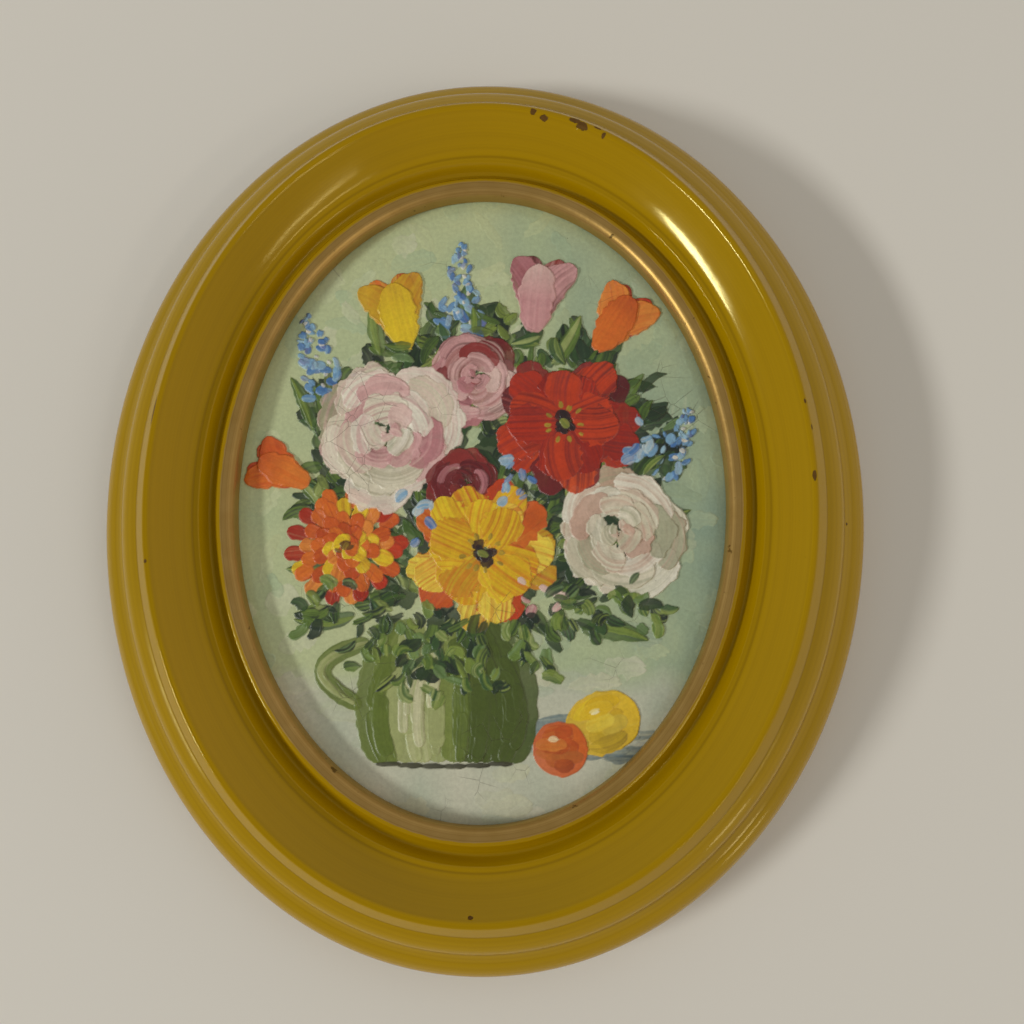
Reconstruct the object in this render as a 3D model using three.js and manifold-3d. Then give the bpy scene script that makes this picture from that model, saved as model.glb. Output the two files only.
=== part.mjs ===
// A small oval picture frame with a painted board in it, made to hang on a wall.
//
// One turned and stretched wooden moulding carries everything. An oval hardboard panel, painted in oils,
// lies in the rebate behind its sight edge and is held there by four brads. A sawtooth hanger is nailed
// to the flat back at the top.
//
// Millimetres, +Z up as hung. The picture faces -Y and the wall is the plane y = 0. The origin is where
// the wall's nail carries the hanger: the middle notch of its teeth.
//
// Sections of the moulding are written as (out, up): how far outward from the sight edge, and how high
// above the wall. An oval ring keeps one section all the way round, so every oval here has the sight
// oval's half width and half height plus the same amount. Only the ridge departs from that a little.

import * as THREE from 'three';
import { mergeVertices } from 'three/addons/utils/BufferGeometryUtils.js';
import Module from 'manifold-3d';

// ---------------------------------------------------------------- driving dimensions

const sight = { halfWidth: 44.5, halfHeight: 57.7 };

const moulding = {
  width: 25.3, // sight edge to the widest line of the outer side
  ridgeOut: 14.5,
  ridgeUp: 15.5,
  ridgeDrawn: 0.4, // the ridge's oval is this much narrower and longer at each side than its neighbours
  ridgeReach: 7.2, // and the difference is gone this far in and out from it
  widestUp: 3.4,
  backOut: 24.4, // where the outer side meets the flat back
  segments: 88,
};

const rebate = { out: 6.4, up: 5.9 };

const board = { out: 6.0, back: 2.6, front: 5.6 };

const brad = { radius: 0.7, length: 10.5, inWood: 6.5, gap: 0.3, angles: [40, 140, 220, 320] };

const hanger = {
  aboveCentre: 71, // the notch line, above the oval's centre
  length: 44,
  above: 6.2, // plate above the notch line
  toothDepth: 1.5,
  teeth: 9,
  toothPitch: 3,
  thickness: 0.8,
  gap: 0.3, // between the plate's ends and the wood
  bow: 1.3, // how far the plate stands off the wood in the middle
  cornerCut: 1.5,
  flatEnd: 7, // length of each end that lies flat under its nail
  nailX: 18.6,
  nailZ: 2.6,
};

const nail = { shank: 0.75, head: 2.0, headThickness: 0.6, tip: 1.2, intoWood: 7.5, clearance: 0.3 };

// ---------------------------------------------------------------- materials

const lacqueredWood = new THREE.MeshStandardMaterial({ color: 0x8b6e05, roughness: 0.3, metalness: 0 });
const paintedBoard = new THREE.MeshStandardMaterial({ color: 0xa4ab80, roughness: 0.7, metalness: 0 });
const steel = new THREE.MeshStandardMaterial({ color: 0x9a958a, roughness: 0.4, metalness: 1 });

// ---------------------------------------------------------------- ovals

/** Turns (out, up) points into a ring about Y, then draws it out along Z into the oval. */
function ovalRing(section, segments) {
  const points = section.map(([out, up]) => new THREE.Vector2(sight.halfWidth + out, up));
  const ring = new THREE.LatheGeometry([...points, points[0]].reverse(), segments);
  ring.rotateX(Math.PI); // the face of the moulding turns to -Y
  const stretch = sight.halfHeight - sight.halfWidth;
  const place = ring.attributes.position;
  for (let i = 0; i < place.count; i++) {
    const x = place.getX(i);
    const z = place.getZ(i);
    const radius = Math.hypot(x, z);
    const fromRidge = Math.abs(radius - sight.halfWidth - moulding.ridgeOut);
    const drawn = moulding.ridgeDrawn * Math.max(0, 1 - fromRidge / moulding.ridgeReach);
    place.setX(i, x - (drawn * x) / radius);
    place.setZ(i, z + ((stretch + drawn) * z) / radius);
  }
  return ring;
}

/** A flat oval plate, `out` wider than the sight oval all round, between two heights above the wall. */
function ovalPlate(out, back, front, segments) {
  const outline = new THREE.Shape();
  outline.absellipse(0, 0, sight.halfWidth + out, sight.halfHeight + out, 0, 2 * Math.PI);
  const plate = new THREE.ExtrudeGeometry(outline, {
    depth: front - back,
    bevelEnabled: false,
    curveSegments: segments,
  });
  plate.rotateX(Math.PI / 2); // the outline stands up in XZ and its thickness runs to -Y
  plate.translate(0, -back, 0);
  return plate;
}

// ---------------------------------------------------------------- the section of the moulding

/** A quarter of an ellipse that starts off along `up`, leaving out its first point. */
function quarter(from, to, steps) {
  const points = [];
  for (let i = 1; i <= steps; i++) {
    const t = (i / steps) * (Math.PI / 2);
    points.push([from[0] + (to[0] - from[0]) * (1 - Math.cos(t)), from[1] + (to[1] - from[1]) * Math.sin(t)]);
  }
  return points;
}

/** A smooth curve through the given points, leaving out the first of them. */
function curve(points, steps) {
  const spline = new THREE.SplineCurve(points.map(([out, up]) => new THREE.Vector2(out, up)));
  return spline.getPoints(steps).slice(1).map((p) => [p.x, p.y]);
}

function mouldingSection() {
  const lip = [0, rebate.up];
  const sightTop = [0.1, 7.9];
  const beadCrest = [2.4, 9.6];
  const rimEdge = [3.1, 9.4];
  const groove = [4.7, 7.7];
  const arris = [6.4, 9.55];
  const fillet = [7.3, 9.65];
  const coveEnd = [13.4, 15.2];
  const ridgeTop = [13.65, 15.4];
  const ridge = [moulding.ridgeOut, moulding.ridgeUp];
  const shoulder = [16.5, 12.95];
  const step = [20.4, 8.9];
  const tread = [22.0, 7.75];
  const widest = [moulding.width, moulding.widestUp];
  return [
    lip,
    sightTop,
    ...quarter(sightTop, beadCrest, 5), // the gilt bead
    rimEdge,
    ...curve([rimEdge, [3.9, 8.2], groove, [5.5, 8.3], arris], 7),
    fillet,
    ...curve([fillet, [8.1, 10.05], [9.0, 10.75], [10.0, 11.65], [11.7, 13.35], coveEnd], 10),
    ridgeTop,
    ridge,
    shoulder,
    ...curve([shoulder, [17.5, 12.52], [18.5, 11.98], [19.3, 11.38], [19.95, 10.5], step], 6),
    tread,
    ...curve([tread, [22.9, 7.33], [23.8, 6.73], [24.55, 5.92], [25.05, 5.0], [25.25, 4.2], widest], 6),
    [moulding.width - 0.1, 1.4],
    [moulding.backOut, 0],
    [rebate.out, 0],
    [rebate.out, rebate.up],
  ];
}

// ---------------------------------------------------------------- cutting

const wasm = await Module();
wasm.setup();

function toSolid(geometry) {
  const bare = geometry.clone();
  bare.deleteAttribute('normal');
  bare.deleteAttribute('uv');
  const merged = mergeVertices(bare, 1e-4);
  return new wasm.Manifold(
    new wasm.Mesh({
      numProp: 3,
      vertProperties: new Float32Array(merged.attributes.position.array),
      triVerts: new Uint32Array(merged.index.array),
    }),
  );
}

function toGeometry(solid) {
  const { vertProperties, triVerts } = solid.getMesh();
  const geometry = new THREE.BufferGeometry();
  geometry.setAttribute('position', new THREE.BufferAttribute(vertProperties, 3));
  geometry.setIndex(new THREE.BufferAttribute(triVerts, 1));
  geometry.computeVertexNormals();
  return geometry;
}

// ---------------------------------------------------------------- pieces

const ovalCentre = [0, 0, -hanger.aboveCentre];

/** A straight round pin from one point to another. */
function pin(from, to, radius) {
  const axis = new THREE.Vector3().subVectors(to, from);
  const geometry = new THREE.CylinderGeometry(radius, radius, axis.length(), 8);
  const turn = new THREE.Quaternion().setFromUnitVectors(new THREE.Vector3(0, 1, 0), axis.clone().normalize());
  geometry.applyQuaternion(turn);
  geometry.translate(...new THREE.Vector3().addVectors(from, to).multiplyScalar(0.5));
  return geometry;
}

/** The two ends of a brad: it lies behind the board and runs outward into the rebate's wall. */
function bradEnds(angle, extra) {
  const a = THREE.MathUtils.degToRad(angle);
  const height = board.back - brad.gap - brad.radius;
  const at = (out) =>
    new THREE.Vector3((sight.halfWidth + out) * Math.cos(a), -height, (sight.halfHeight + out) * Math.sin(a));
  const end = rebate.out + brad.inWood;
  return [at(end - brad.length), at(end + extra)];
}

function nailPlaces() {
  return [-1, 1].map((side) => [side * hanger.nailX, 0, hanger.nailZ]);
}

/** The wooden moulding, with the small holes that its brads and nails are driven into. */
function frameGeometry() {
  let solid = toSolid(ovalRing(mouldingSection(), moulding.segments));
  solid = solid.translate(ovalCentre);
  for (const angle of brad.angles) {
    const hole = pin(...bradEnds(angle, brad.gap), brad.radius + brad.gap);
    solid = solid.subtract(toSolid(hole).translate(ovalCentre));
  }
  for (const [x, , z] of nailPlaces()) {
    const depth = nail.intoWood + nail.clearance;
    const hole = pin(new THREE.Vector3(x, 1, z), new THREE.Vector3(x, -depth, z), nail.shank + nail.clearance);
    solid = solid.subtract(toSolid(hole));
  }
  return toGeometry(solid);
}

/** A strip with teeth along its lower edge, bowed off the wood so that the wall's nail can catch it. */
function hangerGeometry() {
  const half = hanger.length / 2;
  const end = hanger.cornerCut;
  const plate = new THREE.Shape();
  plate.moveTo(-half, hanger.above - end);
  plate.lineTo(-half, end - hanger.toothDepth);
  plate.lineTo(end - half, -hanger.toothDepth);
  for (let i = 0; i < hanger.teeth; i++) {
    const notch = (i - (hanger.teeth - 1) / 2) * hanger.toothPitch;
    plate.lineTo(notch - hanger.toothPitch / 2, -hanger.toothDepth);
    plate.lineTo(notch, 0);
  }
  plate.lineTo((hanger.teeth / 2) * hanger.toothPitch, -hanger.toothDepth);
  plate.lineTo(half - end, -hanger.toothDepth);
  plate.lineTo(half, end - hanger.toothDepth);
  plate.lineTo(half, hanger.above - end);
  for (let i = 0; i <= 10; i++) {
    plate.lineTo((half - end) * (1 - i / 5), hanger.above);
  }
  for (const [x, , z] of nailPlaces()) {
    const hole = new THREE.Path();
    hole.absarc(x, z, nail.shank + nail.clearance, 0, 2 * Math.PI, true);
    plate.holes.push(hole);
  }
  const geometry = new THREE.ExtrudeGeometry(plate, {
    depth: hanger.thickness,
    bevelEnabled: false,
    curveSegments: 4,
  });
  geometry.rotateX(Math.PI / 2);
  geometry.translate(0, hanger.gap + hanger.thickness, 0);
  const place = geometry.attributes.position;
  const flatFrom = half - hanger.flatEnd;
  for (let i = 0; i < place.count; i++) {
    const reach = Math.min(Math.abs(place.getX(i)) / flatFrom, 1);
    place.setY(i, place.getY(i) + hanger.bow * (0.5 + 0.5 * Math.cos(Math.PI * reach)));
  }
  return geometry;
}

/** A round-headed nail standing along Y, with the underside of its head at y = 0. */
function nailGeometry() {
  const underHead = hanger.gap + hanger.thickness + nail.clearance;
  const length = nail.intoWood + underHead;
  const outline = [
    [0, -length],
    [nail.shank, -length + nail.tip],
    [nail.shank, 0],
    [nail.head, 0],
    [nail.head * 0.85, nail.headThickness],
    [0, nail.headThickness * 1.25],
  ];
  const geometry = new THREE.LatheGeometry(outline.map(([r, y]) => new THREE.Vector2(r, y)), 12);
  geometry.translate(0, underHead, 0);
  return geometry;
}

// ---------------------------------------------------------------- assembly

const part = new THREE.Group();

function add(name, geometry, material, position = [0, 0, 0]) {
  const mesh = new THREE.Mesh(geometry, material);
  mesh.name = name;
  mesh.position.set(...position);
  part.add(mesh);
}

add('moulding', frameGeometry(), lacqueredWood);
add('painted_board', ovalPlate(board.out, board.back, board.front, 32), paintedBoard, ovalCentre);
brad.angles.forEach((angle, i) => {
  add(`brad_${i + 1}`, pin(...bradEnds(angle, 0), brad.radius), steel, ovalCentre);
});
add('hanger', hangerGeometry(), steel);
nailPlaces().forEach((place, i) => add(`hanger_nail_${i + 1}`, nailGeometry(), steel, place));

export default part;
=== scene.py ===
import math

import bmesh
import bpy
import numpy as np
from mathutils import Matrix, Vector


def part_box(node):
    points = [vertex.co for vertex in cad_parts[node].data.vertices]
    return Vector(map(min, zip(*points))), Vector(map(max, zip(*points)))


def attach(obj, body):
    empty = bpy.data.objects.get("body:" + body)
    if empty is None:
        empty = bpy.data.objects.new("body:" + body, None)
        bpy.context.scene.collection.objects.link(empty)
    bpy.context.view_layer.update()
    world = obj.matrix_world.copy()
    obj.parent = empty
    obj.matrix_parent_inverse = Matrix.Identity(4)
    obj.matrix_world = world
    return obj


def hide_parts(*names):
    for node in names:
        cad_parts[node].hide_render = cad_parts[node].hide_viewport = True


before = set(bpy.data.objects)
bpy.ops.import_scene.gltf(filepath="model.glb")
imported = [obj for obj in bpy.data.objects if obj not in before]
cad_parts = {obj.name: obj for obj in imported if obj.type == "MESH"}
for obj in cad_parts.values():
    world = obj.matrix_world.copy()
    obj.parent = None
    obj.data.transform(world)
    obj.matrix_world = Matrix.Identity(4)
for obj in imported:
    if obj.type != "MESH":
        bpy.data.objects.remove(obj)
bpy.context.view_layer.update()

MM = 0.001

# ------------------------------------------------------------------ sizes in millimetres, from the frame

board_low, board_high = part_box("painted_board")
frame_low, frame_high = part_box("moulding")
OVAL = Vector(((frame_low[0] + frame_high[0]) / 2, 0.0, (frame_low[2] + frame_high[2]) / 2))
MOULDING_WIDTH = 25.3
SIGHT_X = (frame_high[0] - frame_low[0]) / 2 / MM - MOULDING_WIDTH
SIGHT_Z = (frame_high[2] - frame_low[2]) / 2 / MM - MOULDING_WIDTH
BOARD_UP = -board_low[1] / MM  # how far the board's face stands in front of the wall
REBATE_OUT = 6.4
GILT_OUT = 2.45  # the gilding reaches from the board to this line on the sight edge's round
RIDGE_OUT = 14.5
RIDGE_DRAWN = 0.4  # the ridge's oval is this much longer and narrower at each side than its neighbours
RIDGE_REACH = 7.2


# ------------------------------------------------------------------ shader maths

class Value:
    """A socket that carries a number. Arithmetic on it adds Math nodes."""

    def __init__(self, tree, socket):
        self.tree = tree
        self.socket = socket

    def math(self, operation, *others):
        return maths(self.tree, operation, self, *others)

    def __add__(self, other):
        return self.math("ADD", other)

    def __mul__(self, other):
        return self.math("MULTIPLY", other)

    def __sub__(self, other):
        return self.math("SUBTRACT", other)

    def __rsub__(self, other):
        return maths(self.tree, "SUBTRACT", other, self)

    def __truediv__(self, other):
        return self.math("DIVIDE", other)

    def __rtruediv__(self, other):
        return maths(self.tree, "DIVIDE", other, self)

    __radd__ = __add__
    __rmul__ = __mul__


def maths(tree, operation, *terms):
    """Adds one Math node on numbers, sockets and wrapped sockets."""
    inputs = {f"i{slot}": term for slot, term in enumerate(terms)}
    return Value(tree, add_node(tree, "ShaderNodeMath", {"operation": operation}, **inputs).outputs[0])


def add_node(tree, kind, settings=None, **sockets):
    """Adds one node: its settings first, then the values or links of its sockets.

    A socket goes by its name, or by its place as i0, i1 and so on."""
    node = tree.nodes.new(kind)
    for setting, value in (settings or {}).items():
        setattr(node, setting, value)
    for socket, value in sockets.items():
        slot = int(socket[1:]) if socket[1:].isdigit() else socket.replace("_", " ")
        connect(tree, value, node.inputs[slot])
    return node


def connect(tree, source, socket):
    """Links a socket, or a wrapped one, or writes a plain number or colour."""
    if isinstance(source, Value):
        tree.links.new(source.socket, socket)
    elif isinstance(source, bpy.types.NodeSocket):
        tree.links.new(source, socket)
    else:
        socket.default_value = source


class Finish:
    """A material under construction, with its nodes added by expressions."""

    def __init__(self, name, **surface):
        self.material = bpy.data.materials.new(name)
        self.material.use_nodes = True
        self.tree = self.material.node_tree
        self.tree.nodes.clear()
        self.output = self.tree.nodes.new("ShaderNodeOutputMaterial")
        self.surface = self.tree.nodes.new("ShaderNodeBsdfPrincipled")
        self.tree.links.new(self.surface.outputs[0], self.output.inputs["Surface"])
        self.feed(**surface)
        self.place = self.node("TexCoord").outputs["Object"]

    def node(self, kind, settings=None, **sockets):
        return add_node(self.tree, "ShaderNode" + kind, settings, **sockets)

    def value(self, kind, output=0, settings=None, **sockets):
        return Value(self.tree, self.node(kind, settings, **sockets).outputs[output])

    def axes(self, vector):
        parts = self.node("SeparateXYZ", Vector=vector)
        return [Value(self.tree, parts.outputs[i]) for i in range(3)]

    def attribute(self, name, output="Fac"):
        return self.node("Attribute", {"attribute_name": name}).outputs[output]

    def scaled(self, x, y, z):
        """Object coordinates stretched along each axis, for grain and streaks."""
        return self.node("Mapping", Vector=self.place, Scale=(x, y, z)).outputs[0]

    def noise(self, scale, detail=3.0, roughness=0.5, distortion=0.0, where=None):
        return self.value("TexNoise", "Fac", Vector=where or self.place, Scale=scale, Detail=detail,
                Roughness=roughness, Distortion=distortion)

    def cell_edges(self, scale):
        """How far each place lies from the nearest edge between cells."""
        return self.value("TexVoronoi", "Distance", {"feature": "DISTANCE_TO_EDGE"}, Vector=self.place,
                          Scale=scale)

    def step(self, value, low, high):
        """0 below low, 1 above high, smooth between."""
        return self.value("MapRange", 0, {"interpolation_type": "SMOOTHSTEP"}, Value=value, From_Min=low,
                From_Max=high, To_Min=0.0, To_Max=1.0)

    def mix(self, factor, first, second):
        return self.node("Mix", {"data_type": "RGBA"}, Factor=factor, i6=first, i7=second).outputs[2]

    def bump(self, height, distance, under=None):
        """Height runs from 0 to 1 over `distance` millimetres."""
        below = {} if under is None else {"Normal": under}
        return self.node("Bump", Height=height, Strength=1.0, Distance=distance * MM, **below).outputs[0]

    def feed(self, **sockets):
        for socket, value in sockets.items():
            connect(self.tree, value, self.surface.inputs[socket.replace("_", " ")])
        return self.material


def rgb(red, green, blue):
    """A screen colour, 0 to 255, as the linear colour a shader takes."""
    return tuple(float(c) for c in linear((red, green, blue))) + (1.0,)


def linear(colour):
    c = np.asarray(colour, float) / 255
    return np.where(c <= 0.04045, c / 12.92, ((c + 0.055) / 1.055) ** 2.4)


# ------------------------------------------------------------------ stage, camera, lights

def add_object(name, data):
    thing = bpy.data.objects.new(name, data)
    bpy.context.collection.objects.link(thing)
    return thing


CAMERA_FROM_OVAL = Vector((11.0, -181.25, -32.4))  # mm
CAMERA_TURN = (90 + 9.56, 0.25, 1.76)  # degrees about each axis


def build_camera():
    camera = add_object("camera", bpy.data.cameras.new("camera"))
    camera.location = OVAL + CAMERA_FROM_OVAL * MM
    camera.rotation_euler = [math.radians(degrees) for degrees in CAMERA_TURN]
    camera.data.lens = 34.3
    camera.data.clip_start = 0.01
    bpy.context.scene.camera = camera


def add_light(name, azimuth, zenith, distance, length, breadth, power, colour):
    """A soft panel placed by its direction as seen from in front: azimuth runs anticlockwise from the right.

    Its length lies along the circle of equal zenith, so it shows as a streak round the oval."""
    data = bpy.data.lights.new(name, "AREA")
    data.shape = "ELLIPSE"
    data.size, data.size_y = length, breadth
    data.energy = power
    data.color = colour
    lamp = add_object(name, data)
    a, z = math.radians(azimuth), math.radians(zenith)
    toward = Vector((math.cos(a) * math.sin(z), -math.cos(z), math.sin(a) * math.sin(z)))
    along = Vector((-math.sin(a), 0.0, math.cos(a)))
    lamp.rotation_euler = Matrix((along, toward.cross(along), toward)).transposed().to_euler()
    lamp.location = OVAL + toward * distance


ROOM_LIGHT = 0.42
WARM = (1.0, 0.9, 0.76)

# Each light's name, azimuth and zenith in degrees, distance, length and breadth in metres, power and colour.
LIGHTS = (("key", 198, 59, 2.7, 0.85, 0.26, 34.0, (1.0, 1.0, 0.96)),
        ("second_near", 322, 44, 5.0, 2.2, 0.2, 10.0, WARM), ("second_far", 322, 55, 5.0, 2.2, 0.2, 12.0,
        WARM), ("low", 318, 75, 3.0, 0.5, 0.2, 1.6, WARM))


def build_world():
    """Room light, stronger low down than overhead, a little warmer and brighter from the right."""
    world = bpy.data.worlds.new("studio")
    world.use_nodes = True
    tree = world.node_tree
    tree.nodes.clear()
    direction = add_node(tree, "ShaderNodeTexCoord").outputs["Generated"]
    parts = add_node(tree, "ShaderNodeSeparateXYZ", Vector=direction)
    x, y, z = [Value(tree, part) for part in parts.outputs]
    strength = (0.6 + (1.0 - y * y) * 0.7 + x * 0.55 + z * 0.2) * ROOM_LIGHT
    side = add_node(tree, "ShaderNodeMix", {"data_type": "RGBA"}, Factor=x * 0.5 + 0.5,
                    i6=(0.97, 1.0, 0.97, 1.0), i7=(1.0, 0.92, 0.82, 1.0))
    background = add_node(tree, "ShaderNodeBackground", Strength=strength, Color=side.outputs[2])
    add_node(tree, "ShaderNodeOutputWorld", Surface=background.outputs[0])
    bpy.context.scene.world = world


def build_stage():
    """A pale wall just behind the hanger, seen only from in front."""
    reach = 3.0
    behind_back = 2.6 * MM
    mesh = bpy.data.meshes.new("backdrop")
    corners = ((-reach, -reach), (reach, -reach), (reach, reach), (-reach, reach))
    mesh.from_pydata([(x, behind_back, z) for x, z in corners], [], [(0, 1, 2, 3)])
    backdrop = add_object("backdrop", mesh)
    finish = Finish("pale_backdrop", Base_Color=rgb(226, 222, 214), Roughness=0.9)
    facing = finish.node("NewGeometry").outputs["Backfacing"]
    sides = finish.node("MixShader", Fac=facing, i1=finish.surface.outputs[0],
                        i2=finish.node("BsdfTransparent").outputs[0])
    connect(finish.tree, sides.outputs[0], finish.output.inputs["Surface"])
    mesh.materials.append(finish.material)


# ------------------------------------------------------------------ the moulding

def quarter(start, end, steps):
    """A quarter of an ellipse that starts off upward, leaving out its first point."""
    points = []
    for i in range(1, steps + 1):
        t = i / steps * math.pi / 2
        points.append((start[0] + (end[0] - start[0]) * (1 - math.cos(t)),
                start[1] + (end[1] - start[1]) * math.sin(t)))
    return points


def spline(points, steps):
    """A smooth curve through the points, with steps between each two, leaving out the first point."""
    p = [np.array(q, float) for q in points]
    p = [2 * p[0] - p[1]] + p + [2 * p[-1] - p[-2]]
    out = []
    for i in range(1, len(p) - 2):
        for k in range(1, steps + 1):
            t = k / steps
            a, b, c, d = p[i - 1], p[i], p[i + 1], p[i + 2]
            out.append(tuple(0.5 * (2 * b + (c - a) * t + (2 * a - 5 * b + 4 * c - d) * t * t + (3 * b - a
                    - 3 * c + d) * t ** 3)))
    return out


def moulding_section():
    """The moulding's outline as (out, up) points in millimetres, from the lip over the face to the back."""
    lip = (0.0, 5.9)
    sight_top = (0.1, 7.9)
    crest = (2.4, 9.6)
    rim = (3.1, 9.4)
    groove = (4.7, 7.7)
    arris = (6.4, 9.55)
    fillet = (7.3, 9.65)
    cove_end = (13.4, 15.2)
    ridge_top = (13.65, 15.4)
    ridge = (RIDGE_OUT, 15.5)
    shoulder = (16.5, 12.95)
    step = (20.4, 8.9)
    tread = (22.0, 7.75)
    widest = (MOULDING_WIDTH, 3.4)
    section = [lip, sight_top]
    section += quarter(sight_top, crest, 12)
    section += [rim]
    section += spline([rim, (3.9, 8.2), groove, (5.5, 8.3), arris], 5)
    section += [fillet]
    section += spline([fillet, (8.1, 10.05), (9.0, 10.75), (10.0, 11.65), (11.7, 13.35), cove_end], 6)
    section += [ridge_top, ridge, shoulder]
    section += spline([shoulder, (17.5, 12.52), (18.5, 11.98), (19.3, 11.38), (19.95, 10.5), step], 4)
    section += [tread]
    section += spline([tread, (22.9, 7.33), (23.8, 6.73), (24.55, 5.92), (25.05, 5.0), (25.25, 4.2),
            widest], 4)
    section += [(MOULDING_WIDTH - 0.1, 1.4), (24.4, 0.0), (REBATE_OUT, 0.0), (REBATE_OUT, 5.9)]
    return section


def soften(section, radius, steps=3):
    """Rounds every corner sharper than a few degrees, within `radius` of it."""
    points = [np.array(p, float) for p in section]
    count = len(points)
    out = []
    for i in range(count):
        before, here, after = points[i - 1], points[i], points[(i + 1) % count]
        a, b = before - here, after - here
        la, lb = np.linalg.norm(a), np.linalg.norm(b)
        turn = math.degrees(math.acos(np.clip(-(a @ b) / (la * lb), -1, 1)))
        reach = min(radius, la * 0.45, lb * 0.45)
        if turn < 12:
            out.append(tuple(here))
            continue
        p, q = here + a / la * reach, here + b / lb * reach
        for k in range(steps + 1):
            t = k / steps
            out.append(tuple((1 - t) ** 2 * p + 2 * t * (1 - t) * here + t * t * q))
    return out


def oval_sweep_tree():
    """Geometry Nodes: carries a closed section of (out, up) points round the oval.

    The mesh keeps each point's `out`."""
    tree = bpy.data.node_groups.new("oval_sweep", "GeometryNodeTree")
    face = tree.interface
    face.new_socket("Geometry", in_out="OUTPUT", socket_type="NodeSocketGeometry")
    for name, kind in (("Section", "Object"), ("Half Width", "Float"), ("Half Height", "Float"),
            ("Steps", "Int"), ("Section Points", "Int"), ("Centre", "Vector"), ("Finish", "Material")):
        face.new_socket(name, in_out="INPUT", socket_type="NodeSocket" + kind)

    def add(kind, settings=None, **sockets):
        return add_node(tree, kind, settings, **sockets)

    given = add("NodeGroupInput").outputs
    steps, points = Value(tree, given["Steps"]), Value(tree, given["Section Points"])
    section = add("GeometryNodeObjectInfo", Object=given["Section"]).outputs["Geometry"]
    columns = points + 1
    grid = add("GeometryNodeMeshGrid", Vertices_X=steps + 1, Vertices_Y=columns)
    index = Value(tree, add("GeometryNodeInputIndex").outputs[0])
    along = ((index + 0.5) / columns).math("FLOOR")
    across = index - along * columns
    angle = along / steps * (2 * math.pi)
    where = add("GeometryNodeInputPosition").outputs[0]
    sample = add("GeometryNodeSampleIndex", {"data_type": "FLOAT_VECTOR", "domain": "POINT"},
            Geometry=section, Value=where, Index=across.math("MODULO", points))
    parts = add("ShaderNodeSeparateXYZ", i0=sample.outputs["Value"])
    out, up = Value(tree, parts.outputs[0]), Value(tree, parts.outputs[1])
    off_ridge = (out - RIDGE_OUT).math("ABSOLUTE") / RIDGE_REACH
    drawn = RIDGE_DRAWN * (1.0 - off_ridge).math("MAXIMUM", 0.0)
    wide = out + given["Half Width"] - drawn
    tall = out + given["Half Height"] + drawn
    place = add("ShaderNodeCombineXYZ", i0=wide * angle.math("COSINE"), i1=up * -1.0,
            i2=tall * angle.math("SINE")).outputs[0]
    place = add("ShaderNodeVectorMath", {"operation": "SCALE"}, i0=place, Scale=MM).outputs[0]
    place = add("ShaderNodeVectorMath", {"operation": "ADD"}, i0=place, i1=given["Centre"]).outputs[0]
    marked = add("GeometryNodeStoreNamedAttribute", {"data_type": "FLOAT", "domain": "POINT"},
            Geometry=grid.outputs["Mesh"], Name="out", Value=out)
    shaped = add("GeometryNodeSetPosition", Geometry=marked.outputs[0], Position=place)
    closed = add("GeometryNodeMergeByDistance", Geometry=shaped.outputs[0], Distance=1e-6)
    smooth = add("GeometryNodeSetShadeSmooth", Geometry=closed.outputs[0])
    real = add("GeometryNodeRealizeInstances", Geometry=smooth.outputs[0])
    finished = add("GeometryNodeSetMaterial", Geometry=real.outputs[0], Material=given["Finish"])
    add("NodeGroupOutput", i0=finished.outputs[0])
    return tree


def run_tree(name, tree, **inputs):
    """Runs a Geometry Nodes tree once and keeps its result as a plain mesh object."""
    holder = add_object(name + "_maker", bpy.data.meshes.new(name + "_seed"))
    modifier = holder.modifiers.new("maker", "NODES")
    modifier.node_group = tree
    sockets = {item.name: item.identifier for item in tree.interface.items_tree if item.in_out == "INPUT"}
    for key, value in inputs.items():
        modifier[sockets[key.replace("_", " ")]] = value
    graph = bpy.context.evaluated_depsgraph_get()
    mesh = bpy.data.meshes.new_from_object(holder.evaluated_get(graph), depsgraph=graph)
    bpy.data.objects.remove(holder)
    mesh.name = name
    return add_object(name, mesh)


def section_object(points):
    mesh = bpy.data.meshes.new("section")
    edges = [(i, i + 1) for i in range(len(points) - 1)]
    mesh.from_pydata([(out, up, 0.0) for out, up in points], edges, [])
    return add_object("section", mesh)


def round_place(angle, out):
    """Where a point of the moulding lies in the wall's plane, in millimetres from the oval's centre."""
    a = math.radians(angle)
    return (SIGHT_X + out) * math.cos(a), (SIGHT_Z + out) * math.sin(a)


# Knocks that show bare wood: degrees round the oval, millimetres out from the sight edge, length, width.
CHIPS = [(79.9, 14.1, 1.3, 1.0), (77.8, 13.5, 1.6, 0.9), (72.0, 14.4, 2.8, 0.9), (70.7, 14.0, 2.2, 1.5),
        (68.0, 14.6, 1.5, 0.3), (66.6, 13.9, 0.7, 1.3), (1.2, 13.6, 1.9, 0.7), (11.8, 13.9, 1.0, 0.35),
        (-4.4, 20.9, 0.6, 0.4), (168.5, 14.3, 5.2, 0.3), (190.0, 13.9, 0.7, 0.5), (269.0, 13.3, 0.9, 0.6),
        (8.0, 14.2, 1.1, 0.3)]


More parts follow.
